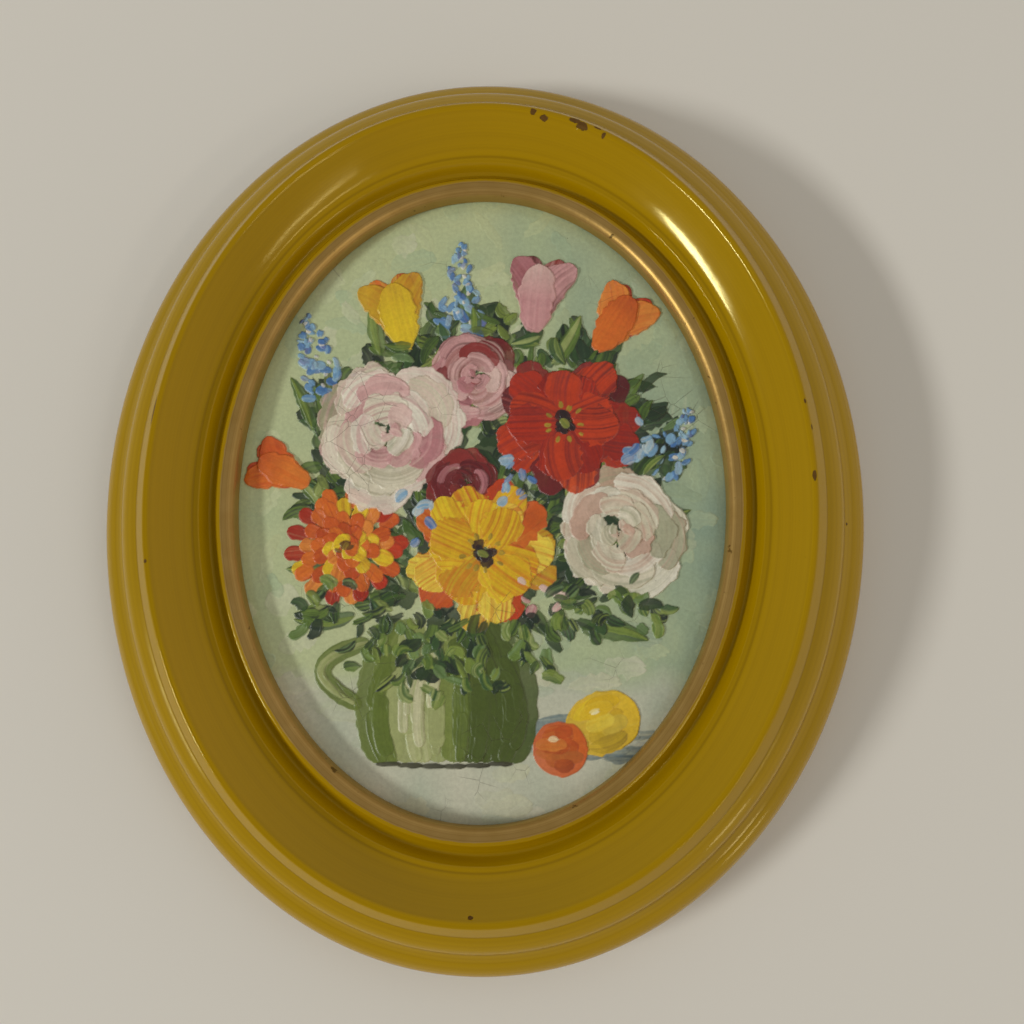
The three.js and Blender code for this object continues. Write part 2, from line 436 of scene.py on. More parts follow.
def chip_mask(finish, x, z):
    """1 inside every chip, with broken edges."""
    ragged = (finish.noise(700.0, 2.0) - 0.5) * 1.6 + (finish.noise(1900.0, 2.0) - 0.5) * 1.6
    mask = None
    for angle, out, length, width in CHIPS:
        cx, cz = round_place(angle, out)
        tangent = Vector((-math.sin(math.radians(angle)) * (SIGHT_X + out),
                math.cos(math.radians(angle)) * (SIGHT_Z + out))).normalized()
        dx, dz = x - cx, z - cz
        along = (dx * tangent[0] + dz * tangent[1]) / (length / 2)
        over = (dx * tangent[1] - dz * tangent[0]) / (width / 2)
        inside = 1.0 - (along * along + over * over)
        mask = inside if mask is None else mask.math("MAXIMUM", inside)
    return finish.step(mask + ragged, 0.0, 0.35)


def lacquer_finish():
    """Mustard lacquer over wood with painted shade in its groove and creases, gilt on the sight edge's
    round, bare wood behind and in the chips.
    """
    finish = Finish("mustard_lacquer", Specular_IOR_Level=0.42, Specular_Tint=(1.0, 0.9, 0.4, 1.0))
    x, y, z = [(axis - middle) * (1 / MM) for axis, middle in zip(finish.axes(finish.place), OVAL)]
    up = y * -1.0
    out = Value(finish.tree, finish.attribute("out"))
    front = finish.step(up, 1.0, 1.8)

    cloud = finish.noise(26.0, 3.0)
    round_the_oval = finish.node("CombineXYZ", X=out).outputs[0]
    turned = finish.noise(1.3, 3.0, 0.6, 0.0, round_the_oval)
    yellow = finish.mix(cloud, rgb(162, 128, 0), rgb(173, 135, 1))
    yellow = finish.mix(finish.step(turned, 0.42, 0.62) * 0.3, yellow, rgb(150, 115, 0))
    # Painted shade: the lacquer is darker along the groove and in the creases at the fillet, the shoulder
    # and the step, where shade falls.
    groove = 1.0 - finish.step((out - 4.9).math("ABSOLUTE"), 0.2, 1.5)
    corner = 1.0 - finish.step((out - 7.4).math("ABSOLUTE"), 0.0, 0.35)
    corner = corner.math("MAXIMUM", 1.0 - finish.step((out - 20.45).math("ABSOLUTE"), 0.0, 0.3))
    corner = corner.math("MAXIMUM", 1.0 - finish.step((out - 16.5).math("ABSOLUTE"), 0.0, 0.25))
    yellow = finish.mix(groove * 0.3, yellow, rgb(126, 94, 0))
    yellow = finish.mix(corner * 0.4, yellow, rgb(112, 82, 2))
    dust = finish.step(finish.noise(2600.0, 1.0), 0.76, 0.8) * finish.step(finish.noise(70.0, 2.0), 0.5,
            0.6)
    yellow = finish.mix(dust * 0.35, yellow, rgb(90, 66, 10))

    wander = (finish.noise(90.0, 3.0) - 0.5) * 0.5 + (finish.noise(520.0, 2.0) - 0.5) * 0.35
    gilt = (1.0 - finish.step(out + wander, GILT_OUT - 0.06, GILT_OUT + 0.06)) * finish.step(up, 5.6, 5.95)
    worn = finish.step(finish.noise(420.0, 4.0, 0.6), 0.66, 0.72) * gilt
    brushed = finish.noise(2.6, 3.0, 0.6, 0.0, round_the_oval)
    gold = finish.mix(finish.noise(240.0, 4.0), rgb(160, 126, 64), rgb(186, 152, 92))
    gold = finish.mix(finish.step(brushed, 0.4, 0.65) * 0.4, gold, rgb(128, 94, 36))
    gold = finish.mix(worn, gold, rgb(92, 66, 22))
    colour = finish.mix(gilt, yellow, gold)

    chips = chip_mask(finish, x, z) * finish.step(up, 6.0, 7.0)
    chip_wood = finish.mix(finish.noise(1500.0, 2.0), rgb(74, 46, 14), rgb(108, 72, 28))
    colour = finish.mix(chips, colour, chip_wood)

    grain = finish.noise(18.0, 5.0, 0.65, 0.6, finish.scaled(16.0, 16.0, 1.3))
    fibre = finish.noise(60.0, 4.0, 0.6, 0.0, finish.scaled(22.0, 22.0, 1.0))
    wood = finish.mix(finish.step(grain, 0.36, 0.62), rgb(186, 150, 104), rgb(158, 118, 74))
    wood = finish.mix(finish.step(fibre, 0.5, 0.66) * 0.5, wood, rgb(122, 86, 50))
    spray = finish.step(out + finish.noise(60.0, 4.0) * 6.0, 21.5, 26.5)
    wood = finish.mix(spray * 0.75, wood, rgb(170, 134, 20))
    bare = 1.0 - front
    colour = finish.mix(bare, colour, wood)

    peel = finish.noise(420.0, 2.0, 0.4)
    ripple = finish.noise(95.0, 2.0, 0.4)
    normal = finish.bump(peel, 0.012)
    normal = finish.bump(ripple, 0.05, normal)
    normal = finish.bump(1.0 - chips, 0.14, normal)
    normal = finish.bump(finish.noise(700.0, 3.0) * gilt, 0.03, normal)
    normal = finish.bump(fibre * bare, 0.06, normal)
    rough = 0.13 + (finish.noise(130.0, 3.0) - 0.5) * 0.06 + gilt * 0.24 + chips * 0.5 + bare * 0.5
    return finish.feed(Base_Color=colour, Metallic=gilt * (1.0 - worn) * 0.55, Roughness=rough,
            Normal=normal)


def build_moulding():
    points = soften(moulding_section(), 0.3)
    section = section_object(points)
    piece = run_tree("moulding_face", oval_sweep_tree(), Section=section, Half_Width=SIGHT_X,
            Half_Height=SIGHT_Z, Steps=540, Section_Points=len(points), Centre=tuple(OVAL),
            Finish=lacquer_finish())
    bpy.data.objects.remove(section)
    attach(piece, "root")
    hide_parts("moulding")


# ------------------------------------------------------------------ oil paint laid on with a knife

CELL = 0.16          # mm between neighbouring points of the paint's surface
UNDER_LIP = 1.2      # how far the paint runs under the sight edge
PRIMING = 0.1        # the thin first coat under everything
UNDERSIDE = 0.2      # how far the paint's flat underside lies inside the board


def between(first, second, part):
    return tuple(a + (b - a) * part for a, b in zip(first, second))


class Painting:
    """Oil paint laid on an oval board with a knife: a relief and its colours on one even grid."""

    def __init__(self, half_width, half_height, seed):
        self.random = np.random.default_rng(seed)
        self.half = (half_width, half_height)
        self.u = np.arange(-half_width - UNDER_LIP, half_width + UNDER_LIP + CELL, CELL)
        self.v = np.arange(-half_height - UNDER_LIP, half_height + UNDER_LIP + CELL, CELL)
        self.relief = np.full((len(self.v), len(self.u)), PRIMING)
        self.colour = np.zeros((len(self.v), len(self.u), 3)) + linear((196, 204, 158))

    def between(self, low, high):
        return self.random.uniform(low, high)

    def wobble(self, where, spacing):
        """Smooth random values from -1 to 1 for each place, with a bend every `spacing`."""
        low, high = float(where.min()), float(where.max())
        knots = np.arange(low - spacing, high + 2 * spacing, spacing)
        return np.interp(where, knots, self.random.uniform(-1, 1, len(knots)))

    def cloud(self, spacing):
        """Smooth random values from 0 to 1 over the whole board, in patches about `spacing` across."""
        across = np.arange(self.u[0], self.u[-1] + spacing, spacing)
        up = np.arange(self.v[0], self.v[-1] + spacing, spacing)
        coarse = self.random.uniform(0, 1, (len(up), len(across)))
        rows = np.array([np.interp(self.u, across, row) for row in coarse])
        return np.array([np.interp(self.v, up, column) for column in rows.T]).T

    def stroke(self, start, end, width, colour, other, bend=0.0, thick=0.4, shape="petal", streaks=0.35,
            ragged=0.12, drag=0.12, tilt=None, light_end=None):
        """One pull of the knife, bent sideways by `bend`, with raised sides and a raised far end."""
        start, end = np.array(start, float), np.array(end, float)
        along = end - start
        length = float(np.hypot(*along))
        if length < 0.3:
            return
        side = np.array([-along[1], along[0]]) / length
        middle = (start + end) / 2 + side * bend * 2
        t = np.linspace(0, 1, max(6, int(length / 0.7)))[:, None]
        line = (1 - t) ** 2 * start + 2 * t * (1 - t) * middle + t * t * end
        reach = width * 0.75 + 0.6
        columns = slice(*np.searchsorted(self.u, [line[:, 0].min() - reach, line[:, 0].max() + reach]))
        rows = slice(*np.searchsorted(self.v, [line[:, 1].min() - reach, line[:, 1].max() + reach]))
        u, v = self.u[columns], self.v[rows]
        if len(u) < 2 or len(v) < 2:
            return
        uu, vv = np.meshgrid(u, v)
        legs = line[1:] - line[:-1]
        steps = np.hypot(legs[:, 0], legs[:, 1])
        total = steps.sum()
        done = np.concatenate([[0], np.cumsum(steps)])
        best = np.full(uu.shape, 1e9)
        run = np.zeros(uu.shape)
        off = np.zeros(uu.shape)
        for i, (leg, step) in enumerate(zip(legs, steps)):
            du, dv = uu - line[i, 0], vv - line[i, 1]
            ahead = (du * leg[0] + dv * leg[1]) / step
            first, last = i == 0, i == len(legs) - 1
            held = np.clip(ahead, -9 if first else 0, step + 9 if last else step)
            across = (leg[0] * dv - leg[1] * du) / step
            far = across ** 2 + (ahead - held) ** 2
            nearer = far < best
            best = np.where(nearer, far, best)
            run = np.where(nearer, done[i] + held, run)
            off = np.where(nearer, np.copysign(np.sqrt(far), across), off)
        part = run / total
        p = np.clip(part, 0, 1)
        if shape == "petal":
            broad = 0.25 + 0.75 * np.sin(np.pi * p ** 0.75 * 0.78) ** 0.9
            broad = broad * np.sqrt(np.clip(1 - ((p - 0.62) / 0.38).clip(0, 1) ** 2.6, 0, 1))
        elif shape == "point":
            broad = np.sin(np.pi * p ** 0.8) ** 0.7 + 0.02
        elif shape == "slab":
            broad = np.clip(1 - np.abs(2 * p - 1) ** 8, 0, 1) ** 0.5
        else:
            broad = np.clip(1 - np.abs(2 * p - 1) ** 2.2, 0, 1) ** 0.5
        half = width / 2 * broad * (1 + ragged * self.wobble(run + 50 * (off > 0), 0.9))
        inside = (half - np.abs(off)) / CELL
        from_ends = np.minimum(run, total - run) + ragged * 2.2 * self.wobble(off, 0.5) + 0.1
        inside = np.minimum(inside, from_ends / CELL)
        cover = np.clip(inside + 0.5, 0, 1)
        if not cover.any():
            return
        edge = np.clip(inside, 0, None) * CELL
        s = off / np.maximum(half, 0.1)
        under = self.relief[rows, columns]
        level = soft(under, 5)
        lines = self.wobble(off + 0.12 * self.wobble(run, 2.0), 0.32) + 0.6 * self.wobble(off, 0.16)
        lines = lines * (0.75 + 0.25 * self.wobble(run, 2.5))
        tilt = self.between(-0.8, 0.8) if tilt is None else tilt
        bead = np.exp(-((edge - 0.16) / 0.2) ** 2) * (0.85 + tilt * np.sign(off) * 0.6)
        bead *= np.clip(0.65 + 0.75 * self.wobble(run + 50 * (off > 0), 1.3), 0.05, 1.3)
        end_bead = np.exp(-((total - run - 0.3) / 0.35) ** 2) * np.clip(0.5 + 0.8 * self.wobble(off, 0.6),
                0, 1.3)
        body = 0.42 + 0.12 * s * tilt + 0.3 * p + 0.1 * self.wobble(run, 1.6)
        fresh = thick * (body + 0.4 * np.maximum(bead, end_bead) + 0.12 * streaks / 0.35 * lines)
        top = level + 0.25 * (under - level) + np.clip(fresh, 0.03, None) * np.clip(edge / 0.14, 0, 1)
        self.relief[rows, columns] = under + (top - under) * cover
        base, second = linear(colour), linear(other)
        blend = np.clip(0.5 * streaks + streaks * 1.1 * lines + 0.1 * self.wobble(run, 1.4), 0, 1)[...,
                None]
        paint = base * (1 - blend) + second * blend
        if light_end is not None:
            tip = np.clip((p - 0.45) / 0.55, 0, 1)[..., None] * (0.8 + 0.3 * lines[..., None]).clip(0, 1)
            paint = paint * (1 - tip) + linear(light_end) * tip
        paint = paint * (1 + 0.05 * self.wobble(run, 1.1) + 0.04 * self.wobble(off, 0.7))[..., None]
        old = self.colour[rows, columns]
        picked = drag * (1.2 - p) + 0.25 * np.clip(lines - 0.55, 0, 1)
        picked = (np.clip(picked, 0, 0.85) * (1 - 0.5 * np.exp(-edge / 0.3)))[..., None]
        paint = paint * (1 - picked) + old * picked
        self.colour[rows, columns] = old + (paint - old) * cover[..., None]

    def settle(self):
        """Thick places sink a little, and the relief dies away where the sight edge covers the board."""
        thickest = 1.5
        self.relief = thickest * (1 - np.exp(-self.relief / thickest))
        uu, vv = np.meshgrid(self.u, self.v)
        reach = np.hypot(uu / self.half[0], vv / self.half[1])
        from_edge = (1 - reach) * min(self.half)
        self.relief *= 0.12 + 0.88 * np.clip((from_edge + 0.1) / 1.6, 0, 1)

    def even_strips(self, count):
        """Row numbers that cut the oval into strips of like area."""
        inside = np.sqrt(np.clip(1 - (self.v / (self.half[1] + UNDER_LIP)) ** 2, 0, 1))
        share = np.cumsum(inside) / inside.sum()
        cuts = [int(np.searchsorted(share, k / count)) for k in range(1, count)]
        return [0, *cuts, len(self.v) - 1]

    def dab(self, at, size, colour, other, thick=0.35, angle=None, **more):
        """A short touch of the knife's tip."""
        a = self.between(0, 2 * math.pi) if angle is None else angle
        step = np.array([math.cos(a), math.sin(a)]) * size
        self.stroke(at - step / 2, at + step / 2, size * self.between(0.45, 0.8), colour, other,
                thick=thick, shape="dab", bend=self.between(-0.15, 0.15) * size, ragged=0.22, **more)


def soft(field, size):
    """The field averaged over a square of `size` cells each way."""
    for axis in (0, 1):
        padded = np.pad(field, [(size + 1, size) if i == axis else (0, 0) for i in (0, 1)], mode="edge")
        total = np.cumsum(padded, axis=axis)
        span = 2 * size + 1
        high = np.take(total, range(span, total.shape[axis]), axis=axis)
        low = np.take(total, range(0, total.shape[axis] - span), axis=axis)
        field = (high - low) / span
    return field


# ------------------------------------------------------------------ the still life

GROUND = [(200, 208, 160), (206, 214, 172), (188, 202, 158), (210, 214, 180), (180, 198, 160)]
COOL = [(160, 180, 152), (150, 172, 150), (172, 190, 160), (140, 162, 140)]
TABLE = [(206, 206, 178), (214, 212, 190), (196, 200, 172), (186, 194, 172)]
SHADOW = [(120, 138, 140), (104, 124, 132), (136, 150, 146), (92, 108, 112)]
DARK_LEAF = [(34, 50, 38), (40, 62, 42), (26, 40, 34), (48, 70, 40)]
LEAF = [(74, 104, 44), (92, 120, 48), (60, 92, 50), (108, 134, 58)]
LIGHT_LEAF = [(132, 152, 66), (150, 166, 84), (118, 146, 92), (168, 180, 112)]
YELLOW = [(240, 208, 40), (232, 190, 30), (246, 220, 80), (214, 170, 40)]
WHITE = [(236, 228, 206), (228, 220, 196), (240, 234, 216), (214, 206, 180)]
PINK = [(214, 160, 160), (226, 182, 178), (190, 124, 130), (232, 200, 190)]
CRIMSON = [(120, 36, 40), (96, 26, 34), (146, 50, 48)]
RED = [(204, 66, 30), (190, 52, 28), (216, 84, 40), (168, 42, 26)]
ORANGE = [(228, 118, 40), (216, 98, 34), (236, 146, 60), (196, 84, 30)]
BLUE = [(104, 150, 196), (76, 122, 182), (132, 176, 208), (160, 196, 214)]
VIOLET = [(110, 96, 150), (134, 120, 168)]
GLAZE = [(196, 198, 148), (170, 178, 118), (146, 158, 90), (122, 138, 62), (100, 118, 44), (78, 94, 36)]
TABLE_EDGE = -31.0


def pick(p, palette):
    return palette[p.random.integers(len(palette))]


def turn(angle, length=1.0):
    return np.array([math.cos(angle), math.sin(angle)]) * length


def background(p):
    """Thin scraped paint: pale green, cooler and darker towards the right, over a paler table."""
    uu, vv = np.meshgrid(p.u, p.v)
    wide, tall = p.half
    cool = 0.12 + (uu - 0.25 * vv) / 62 + 0.7 * (p.cloud(13.0) - 0.5) + 0.3 * (p.cloud(3.5) - 0.5)
    cool = np.clip(cool, 0, 1)
    light = p.cloud(7.0)
    table = np.clip((TABLE_EDGE + 1.2 * np.sin(uu * 0.13) + 5 * (p.cloud(6.0) - 0.5) - vv) / 5, 0, 1)
    for i in range(3):
        wall = linear(GROUND[0])[i] * light + linear(GROUND[2])[i] * (1 - light)
        wall = wall * (1 - cool) + linear(COOL[1])[i] * cool
        top = linear(TABLE[1])[i] * light + linear(TABLE[3])[i] * (1 - light)
        p.colour[..., i] = wall * (1 - table) + top * table
    p.relief += 0.05 * p.cloud(2.2) + 0.04 * p.cloud(0.8)
    for _ in range(230):
        at = p.random.uniform((-wide, -tall), (wide, tall))
        on_table = at[1] < TABLE_EDGE
        cooler = np.clip((at[0] - 0.25 * at[1]) / 55 + p.between(-0.2, 0.2), 0, 1)
        colour = between(pick(p, GROUND), pick(p, COOL), float(cooler))
        colour = pick(p, TABLE) if on_table else colour
        a = p.between(-0.2, 0.2) if on_table else p.between(-0.3, 2.2)
        p.stroke(at, at + turn(a, p.between(4, 10)), p.between(2.0, 5.0), colour, pick(p, GROUND),
                bend=p.between(-0.9, 0.9), thick=p.between(0.03, 0.1), shape="dab", streaks=0.25,
                ragged=0.35, drag=p.between(0.45, 0.75))


def table_shadow(p):
    for _ in range(26):
        at = np.array([p.between(4, 24), p.between(-45, -38)])
        at[1] -= 0.1 * at[0]
        p.stroke(at, at + np.array([p.between(5, 13), p.between(-0.8, 1.2)]), p.between(1.4, 3.0),
                pick(p, SHADOW), pick(p, TABLE), thick=0.13, shape="dab", streaks=0.5, ragged=0.3,
                drag=0.4)


def jug(p, foot, height, belly):
    """A glazed jug: its handle, then long pulls bowed with its side, light left of the middle, and dark
    touches along its foot.
    """
    u0, v0 = foot

    def half_at(h):
        return belly * (0.56 + 0.44 * math.sin(math.pi * min(1.0, (h + 0.14) / 0.98)) ** 0.9)

    def pull(s, high, low, width, colour, other, thick):
        start, end = half_at(high), half_at(low)
        bow = s * (half_at((high + low) / 2) - (start + end) / 2)
        p.stroke((u0 + s * start, v0 + high * height), (u0 + s * end, v0 + low * height), width, colour,
                other, bend=bow, thick=thick, shape="slab", streaks=0.5, ragged=0.1, drag=0.15)

    def tone(s):
        light = float(np.clip(abs(s + 0.25) * 1.25 + 0.25 * (s > 0) + p.between(-0.16, 0.16), 0, 0.99)) * 5
        return between(GLAZE[int(light)], GLAZE[min(int(light) + 1, 5)], light % 1)

    handle = (u0 - belly * 0.9, v0 + height * 0.84), (u0 - belly * 0.97, v0 + height * 0.4)
    p.stroke(*handle, 3.2, GLAZE[4], GLAZE[2], bend=-belly * 0.5, thick=0.4, shape="slab", ragged=0.06)
    p.stroke(*handle, 1.3, GLAZE[2], GLAZE[0], bend=-belly * 0.52, thick=0.35, shape="dab", ragged=0.1)
    for s in (-0.9, 0.9, -0.72, 0.72, -0.52, 0.52, -0.3, 0.3, -0.1, 0.1):
        pull(s, 0.98, 0.03, belly * 0.36, tone(s), tone(s), 0.2)
    for _ in range(46):
        s, high = p.between(-0.9, 0.9), p.between(0.35, 0.98)
        pull(s, high, max(0.03, high - p.between(0.2, 0.5)), p.between(1.6, 3.4), tone(s), tone(s), 0.22)
    for _ in range(9):
        s, high = p.between(-0.5, -0.1), p.between(0.5, 0.85)
        pull(s, high, high - p.between(0.2, 0.4), p.between(1.0, 2.2), (214, 212, 172), tone(s), 0.26)
    for s in np.linspace(-0.85, 0.8, 6):
        u, v = u0 + s * half_at(0), v0 + 0.1 + 0.6 * s * s
        p.stroke((u - 2.4, v), (u + 2.2, v), 0.9, (58, 58, 40), (84, 84, 52), thick=0.15, shape="dab",
                ragged=0.3)


def leaf(p, at, angle, length, width, palette):
    bend = p.between(-0.12, 0.12) * length
    end = at + turn(angle, length)
    colour = pick(p, palette)
    p.stroke(at, end, width, colour, pick(p, DARK_LEAF), bend=bend, thick=0.38, shape="point", streaks=0.45,
            drag=0.25)
    if width > 2.0:
        off = turn(angle + math.pi / 2, width * 0.17)
        p.stroke(at + off, end, width * 0.42, pick(p, LIGHT_LEAF), colour, bend=bend * 0.9, thick=0.3,
                shape="point", streaks=0.5, drag=0.3)


def stem(p, start, end, bend=0.0):
    p.stroke(start, end, 1.1, pick(p, LEAF), pick(p, DARK_LEAF), bend=bend, thick=0.35, shape="slab",
            ragged=0.2)


def tulip(p, at, angle, size, palette, dark):
    """Seen from the side: two outer petals, one in the middle, and the gap between them in shade."""
    for side in (-0.2, 0.2):
        p.stroke(at + turn(angle, size * 0.1), at + turn(angle + side, size * 0.98), size * 0.4,
                pick(p, dark), pick(p, palette), thick=0.35, shape="petal")
    for side, bend in ((-0.42, 0.13), (0.42, -0.13)):
        p.stroke(at, at + turn(angle + side, size * 0.98), size * 0.44, pick(p, palette), pick(p, dark),
                bend=bend * size, thick=0.5, shape="petal", streaks=0.3, drag=0.05)
    p.stroke(at - turn(angle, size * 0.04), at + turn(angle + p.between(-0.08, 0.08), size * 0.86),
            size * 0.46, palette[0], pick(p, palette), thick=0.62, shape="petal", streaks=0.3, drag=0.04,
            light_end=palette[-1])


def poppy(p, at, size, palette, dark):
    """Open towards the viewer: broad crinkled petals in two rounds about a dark middle."""
    start = p.between(0, 2 * math.pi)
    for ring, count, reach in ((0, 5, 1.0), (1, 4, 0.74)):
        for k in range(count):
            a = start + ring * 0.6 + 2 * math.pi * k / count + p.between(-0.15, 0.15)
            for fan in (-0.3, 0.3, 0.0):
                tone = pick(p, palette if ring or fan == 0 else dark + palette)
                p.stroke(at + turn(a, size * 0.12), at + turn(a + fan, size * reach * p.between(0.9, 1.04)),
                        size * 0.52, tone, pick(p, dark), bend=p.between(-0.08, 0.08) * size, thick=0.42,
                        shape="petal", streaks=0.5, ragged=0.2, drag=0.12)
    for _ in range(9):
        a = p.between(0, 2 * math.pi)
        p.dab(at + turn(a, size * p.between(0.02, 0.15)), size * 0.17, (40, 30, 34), (70, 40, 40),
                thick=0.4)
    for k in range(10):
        a = 2 * math.pi * k / 10 + p.between(-0.2, 0.2)
        p.dab(at + turn(a, size * p.between(0.2, 0.27)), size * 0.09, (190, 160, 50), (60, 50, 30),
                thick=0.4, angle=a)
    p.dab(at, size * 0.16, (120, 132, 60), (170, 160, 70), thick=0.5)


def rose(p, at, size, palette, dark):
    """A full bloom: curved petals laid round and round, from the outside in."""
    for ring, count in ((1.0, 7), (0.94, 5), (0.72, 6), (0.5, 5), (0.28, 3)):
        turned = p.between(0, 6.28)
        for k in range(count):
            a = turned + 2 * math.pi * k / count + p.between(-0.25, 0.25)
            span = p.between(0.5, 0.8) + 0.2 * (1 - ring)
            radius = size * ring * p.between(0.68, 0.86)
            lean = turn(a, p.between(-0.08, 0.1) * size)
            first, last = at + turn(a - span, radius) + lean, at + turn(a + span, radius) - lean
            colour = pick(p, palette) if p.random.random() < 0.75 else pick(p, dark)
            p.stroke(first, last, size * (0.3 + 0.16 * ring) * p.between(0.8, 1.2), colour, pick(p, dark),
                    bend=-radius * 0.27, thick=0.42, shape=("dab", "petal")[k % 2], streaks=0.5,
                    ragged=0.22, drag=0.14, tilt=-0.9)
    for _ in range(4):
        p.dab(at + turn(p.between(0, 6.28), size * 0.1), size * 0.2, pick(p, dark), palette[0], thick=0.4)


def marigold(p, at, size, palette, dark):
    """A dense round head of short petals, ring within ring."""
    for ring in (1.0, 0.8, 0.6, 0.4, 0.22):
        count = int(6 + 13 * ring)
        for k in range(count):
            a = 2 * math.pi * (k + 0.5 * (ring * 5 % 2)) / count + p.between(-0.12, 0.12)
            colour = pick(p, dark) if ring == 1.0 and p.random.random() < 0.5 else pick(p, palette)
            p.stroke(at + turn(a, size * max(0, ring - 0.36)), at + turn(a, size * ring * p.between(0.93,
                    1.05)), size * 0.26, colour, pick(p, dark), thick=0.42, shape="petal", streaks=0.3,
                    drag=0.05)
    for _ in range(6):
        p.dab(at + turn(p.between(0, 6.28), size * p.between(0, 0.14)), size * 0.14, (110, 70, 30),
                (170, 150, 50))


def spike(p, at, angle, length, palette, other, bend=0.0):
    """A tall head of small florets, large below and only buds at its tip."""
    side = turn(angle + math.pi / 2)
    for k in range(int(length * 1.6)):
        part = (k / (length * 1.6)) ** 0.9
        middle = at + turn(angle, length * part) + side * bend * 4 * part * (1 - part)
        spread = 4.6 * (1 - part) + 0.8
        for _ in range(2):
            place = middle + side * p.between(-spread, spread)
            p.dab(place, p.between(1.3, 2.6) * (1.25 - 0.7 * part), pick(p, palette), pick(p, other),
                    thick=0.42, angle=angle + p.between(-1.2, 1.2), streaks=0.5)
        if k % 3 == 0:
            p.dab(middle + side * p.between(-spread, spread) * 0.7, 1.1, WHITE[0], palette[0], thick=0.4)


def fruit(p, at, size, palette, shade_colour, stretch=1.0, angle=0.0):
    """Round and smooth: crossing pulls that darken towards the lower right, then one light touch."""
    across, up = turn(angle) * stretch, turn(angle + math.pi / 2)
    p.stroke(at - across * size, at + across * size, size * 1.95, palette[1], palette[0], thick=0.3,
            shape="dab", ragged=0.05, streaks=0.2)
    for _ in range(15):
        s, half = p.between(-0.7, 0.7), p.between(0.25, 0.6)
        middle = at + across * size * p.between(-0.4, 0.4) * (1 - abs(s)) - up * s * size * 0.8
        dark = float(np.clip(0.2 + 0.8 * s + p.between(-0.15, 0.15), 0, 1))
        p.stroke(middle - across * half * size, middle + across * half * size, size * 0.5,
                between(pick(p, palette), shade_colour, dark), pick(p, palette), bend=-s * size * 0.2,
                thick=0.1, shape="dab", streaks=0.3, drag=0.35)
    p.dab(at + turn(2.2, size * 0.42), size * 0.36, (246, 238, 190), palette[0], thick=0.25, angle=angle)


def foliage(p, middle, reach, heart):
    """Deep green laid in under the flowers, then small curled touches that thin out towards the rim."""
    for _ in range(150):
        r = math.sqrt(p.between(0, 1))
        at = middle + turn(p.between(0, 2 * math.pi), r) * reach
        out = math.atan2(at[1] - heart[1], at[0] - heart[0]) + p.between(-0.8, 0.8)
        p.stroke(at, at + turn(out, p.between(5, 10)), p.between(2.6, 4.6), pick(p, DARK_LEAF),
                pick(p, LEAF + DARK_LEAF), bend=p.between(-1.4, 1.4), thick=0.28, shape="point",
                streaks=0.6, ragged=0.3, drag=0.15)
    for k in range(330):
        at = middle + turn(p.between(0, 2 * math.pi), p.between(0.25, 1.12)) * reach
        out = math.atan2(at[1] - heart[1], at[0] - heart[0]) + p.between(-1.1, 1.1)
        colour = pick(p,
                LIGHT_LEAF if p.random.random() < 0.25 else LEAF if p.random.random() < 0.6 else DARK_LEAF)
        p.stroke(at, at + turn(out, p.between(2.5, 6.5)), p.between(1.3, 2.8), colour, pick(p, DARK_LEAF),
                bend=p.between(-1.3, 1.3), thick=0.34, shape=("point", "petal")[k % 2], streaks=0.75,
                ragged=0.25, drag=0.2)


